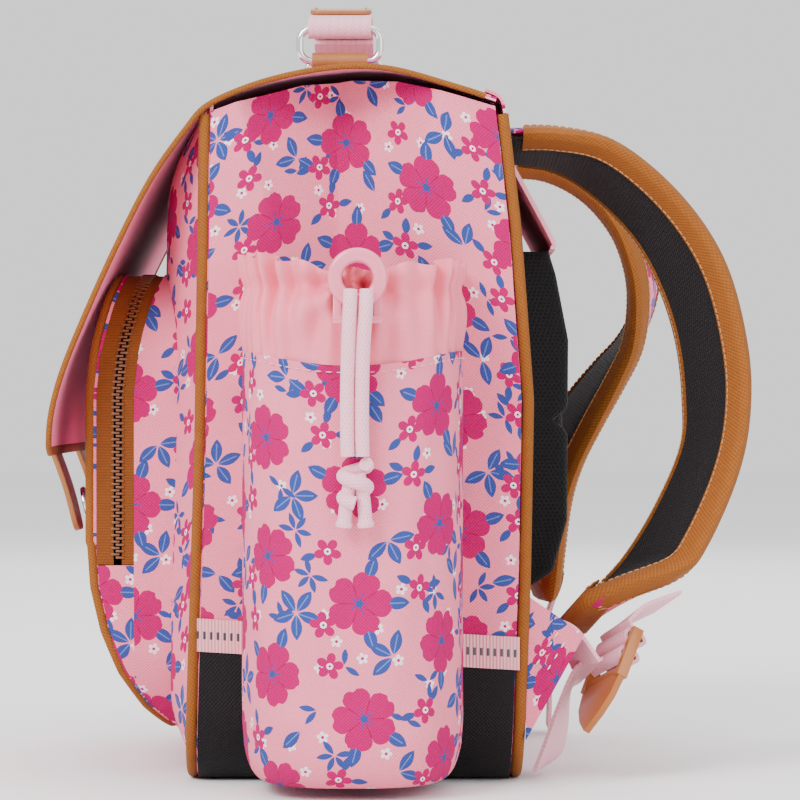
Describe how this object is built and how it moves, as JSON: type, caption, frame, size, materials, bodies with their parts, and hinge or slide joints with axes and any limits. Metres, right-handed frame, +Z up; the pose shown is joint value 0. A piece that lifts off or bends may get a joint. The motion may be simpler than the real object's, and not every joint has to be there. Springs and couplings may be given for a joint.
{
  "type": "school backpack",
  "caption": "Small upright school backpack: hinged flap with leather closing straps, zipped front pocket, gathered side bottle sleeve, padded straps and top handle.",
  "frame": {"origin": "centre of the base, on the surface that the bag stands on", "axes": "+Z up, the flap and front pocket face -Y, the shoulder straps are at +Y, +X is the side with the bottle sleeve (the wearer's right)"},
  "size_m": [0.3239, 0.2785, 0.3099],
  "materials": {
    "floral_fabric": "pink polyester weave with a printed flower pattern",
    "base_fabric": "coarse black woven polyester",
    "board": "plain stiffener board",
    "reflective_ribbon": "pink ribbed ribbon with grey reflective dashes",
    "piping_twill": "tan twill",
    "zip_tape": "woven camel tape",
    "zip_coil": "camel coil",
    "zip_metal": "camel lacquered slider",
    "tan_leather": "smooth tan leather with painted edges",
    "nickel": "polished nickel",
    "satin_lining": "satin-like pink polyester",
    "lock_plastic_pink": "glossy pink plastic",
    "spring_steel": "spring wire",
    "cord": "pale pink braided cord",
    "air_mesh": "black air mesh over foam",
    "pink_webbing": "pale pink woven webbing",
    "lock_plastic_camel": "glossy camel plastic"
  },
  "bodies": {
    "bag": {"front_panel": "floral_fabric", "back_panel": "floral_fabric", "side_gusset_right": "floral_fabric", "side_gusset_left": "floral_fabric", "base_boot": "base_fabric", "base_board": "board", "back_board": "board", "side_ribbons": "reflective_ribbon", "front_piping": "piping_twill", "back_piping": "piping_twill", "pocket_front": "floral_fabric", "pocket_gusset": "floral_fabric", "zip_tapes": "zip_tape", "zip_chain": "zip_coil", "pocket_piping": "piping_twill", "pocket_magnets": "nickel", "bottle_sleeve": "floral_fabric", "bottle_collar": "satin_lining", "cord_lock_body": "lock_plastic_pink", "cord_lock_springs": "spring_steel", "drawcord_strand_a": "cord", "drawcord_strand_b": "cord", "drawcord_knot": "cord", "back_pad": "air_mesh", "yoke_panel": "pink_webbing", "strap_wing_right": "floral_fabric", "strap_wing_left": "floral_fabric", "adjust_webbing_right": "pink_webbing", "adjust_webbing_left": "pink_webbing"},
    "flap_top": {"flap_top_panel": "floral_fabric", "ring_tab_right": "tan_leather", "ring_tab_left": "tan_leather"},
    "flap_front": {"flap_front_panel": "floral_fabric", "closure_patches": "tan_leather", "closure_straps": "tan_leather", "closure_rivets": "nickel"},
    "closure_right": {"closure_tip_right": "tan_leather", "tip_magnet_right": "nickel"},
    "closure_left": {"closure_tip_left": "tan_leather", "tip_magnet_left": "nickel"},
    "ring_right": {"ring_right": "nickel"},
    "ring_left": {"ring_left": "nickel"},
    "handle": {"handle_webbing": "pink_webbing", "handle_leather": "tan_leather"},
    "strap_right": {"strap_pad_right": "air_mesh", "strap_webbing_right": "pink_webbing"},
    "strap_left": {"strap_pad_left": "air_mesh", "strap_webbing_left": "pink_webbing"},
    "lock_right": {"ladder_lock_right": "lock_plastic_camel", "webbing_wrap_right": "pink_webbing", "webbing_tail_right": "pink_webbing"},
    "lock_left": {"ladder_lock_left": "lock_plastic_camel", "webbing_wrap_left": "pink_webbing", "webbing_tail_left": "pink_webbing"},
    "zip_slider": {"zip_slider": "zip_metal"},
    "zip_pull": {"zip_pull": "tan_leather"},
    "cord_lock_plunger": {"cord_lock_plunger": "lock_plastic_pink"}
  },
  "joints": [
    {"name": "flap_hinge", "type": "hinge", "parent": "bag", "child": "flap_top", "pos_m": [0, 0.057, 0.2628], "axis": [-1, 0, 0], "range_deg": [0, 120]},
    {"name": "flap_fold", "type": "hinge", "parent": "flap_top", "child": "flap_front", "pos_m": [0, -0.0593, 0.2602], "axis": [-1, 0, 0], "range_deg": [0, 90]},
    {"name": "closure_right_lift", "type": "hinge", "parent": "flap_front", "child": "closure_right", "pos_m": [0.055, -0.1198, 0.128], "axis": [-1, 0, 0], "range_deg": [0, 60]},
    {"name": "closure_left_lift", "type": "hinge", "parent": "flap_front", "child": "closure_left", "pos_m": [-0.055, -0.1198, 0.128], "axis": [-1, 0, 0], "range_deg": [0, 60]},
    {"name": "ring_right_tilt", "type": "hinge", "parent": "flap_top", "child": "ring_right", "pos_m": [0.064, -0.006, 0.283], "axis": [0, 1, 0], "range_deg": [-55, 55]},
    {"name": "handle_level", "type": "hinge", "parent": "ring_right", "child": "handle", "pos_m": [0.064, -0.006, 0.296], "axis": [0, 1, 0], "range_deg": [-55, 55]},
    {"name": "ring_left_tilt", "type": "hinge", "parent": "flap_top", "child": "ring_left", "pos_m": [-0.064, -0.006, 0.283], "axis": [0, 1, 0], "range_deg": [-55, 55]},
    {"name": "strap_right_lift", "type": "hinge", "parent": "bag", "child": "strap_right", "pos_m": [0.061, 0.06, 0.25], "axis": [1, 0, 0], "range_deg": [0, 8]},
    {"name": "strap_left_lift", "type": "hinge", "parent": "bag", "child": "strap_left", "pos_m": [-0.061, 0.06, 0.25], "axis": [1, 0, 0], "range_deg": [0, 8]},
    {"name": "lock_right_tilt", "type": "hinge", "parent": "strap_right", "child": "lock_right", "pos_m": [0.08885, 0.1036, 0.05245], "axis": [0.8619, 0.4019, 0.309], "range_deg": [0, 20]},
    {"name": "lock_left_tilt", "type": "hinge", "parent": "strap_left", "child": "lock_left", "pos_m": [-0.10351, 0.07845, 0.04685], "axis": [0.9903, -0.1392, 0], "range_deg": [0, 20]},
    {"name": "zip_slide", "type": "slide", "parent": "bag", "child": "zip_slider", "axis": [0, 0, 1], "range_m": [0, 0.062]},
    {"name": "zip_pull_swing", "type": "hinge", "parent": "zip_slider", "child": "zip_pull", "pos_m": [-0.0965, -0.0924, 0.096], "axis": [0, 1, 0], "range_deg": [0, 170]},
    {"name": "cord_lock_press", "type": "slide", "parent": "bag", "child": "cord_lock_plunger", "axis": [0, 0, 1], "range_m": [0, 0.0025], "stiffness_N_per_m": 300, "springref_m": -0.003, "deforming": ["cord_lock_springs"]}
  ],
  "couplings": [
    {"joint": "handle_level", "follows": "ring_right_tilt", "ratio": -1},
    {"joint": "ring_left_tilt", "follows": "ring_right_tilt", "ratio": 1}
  ]
}
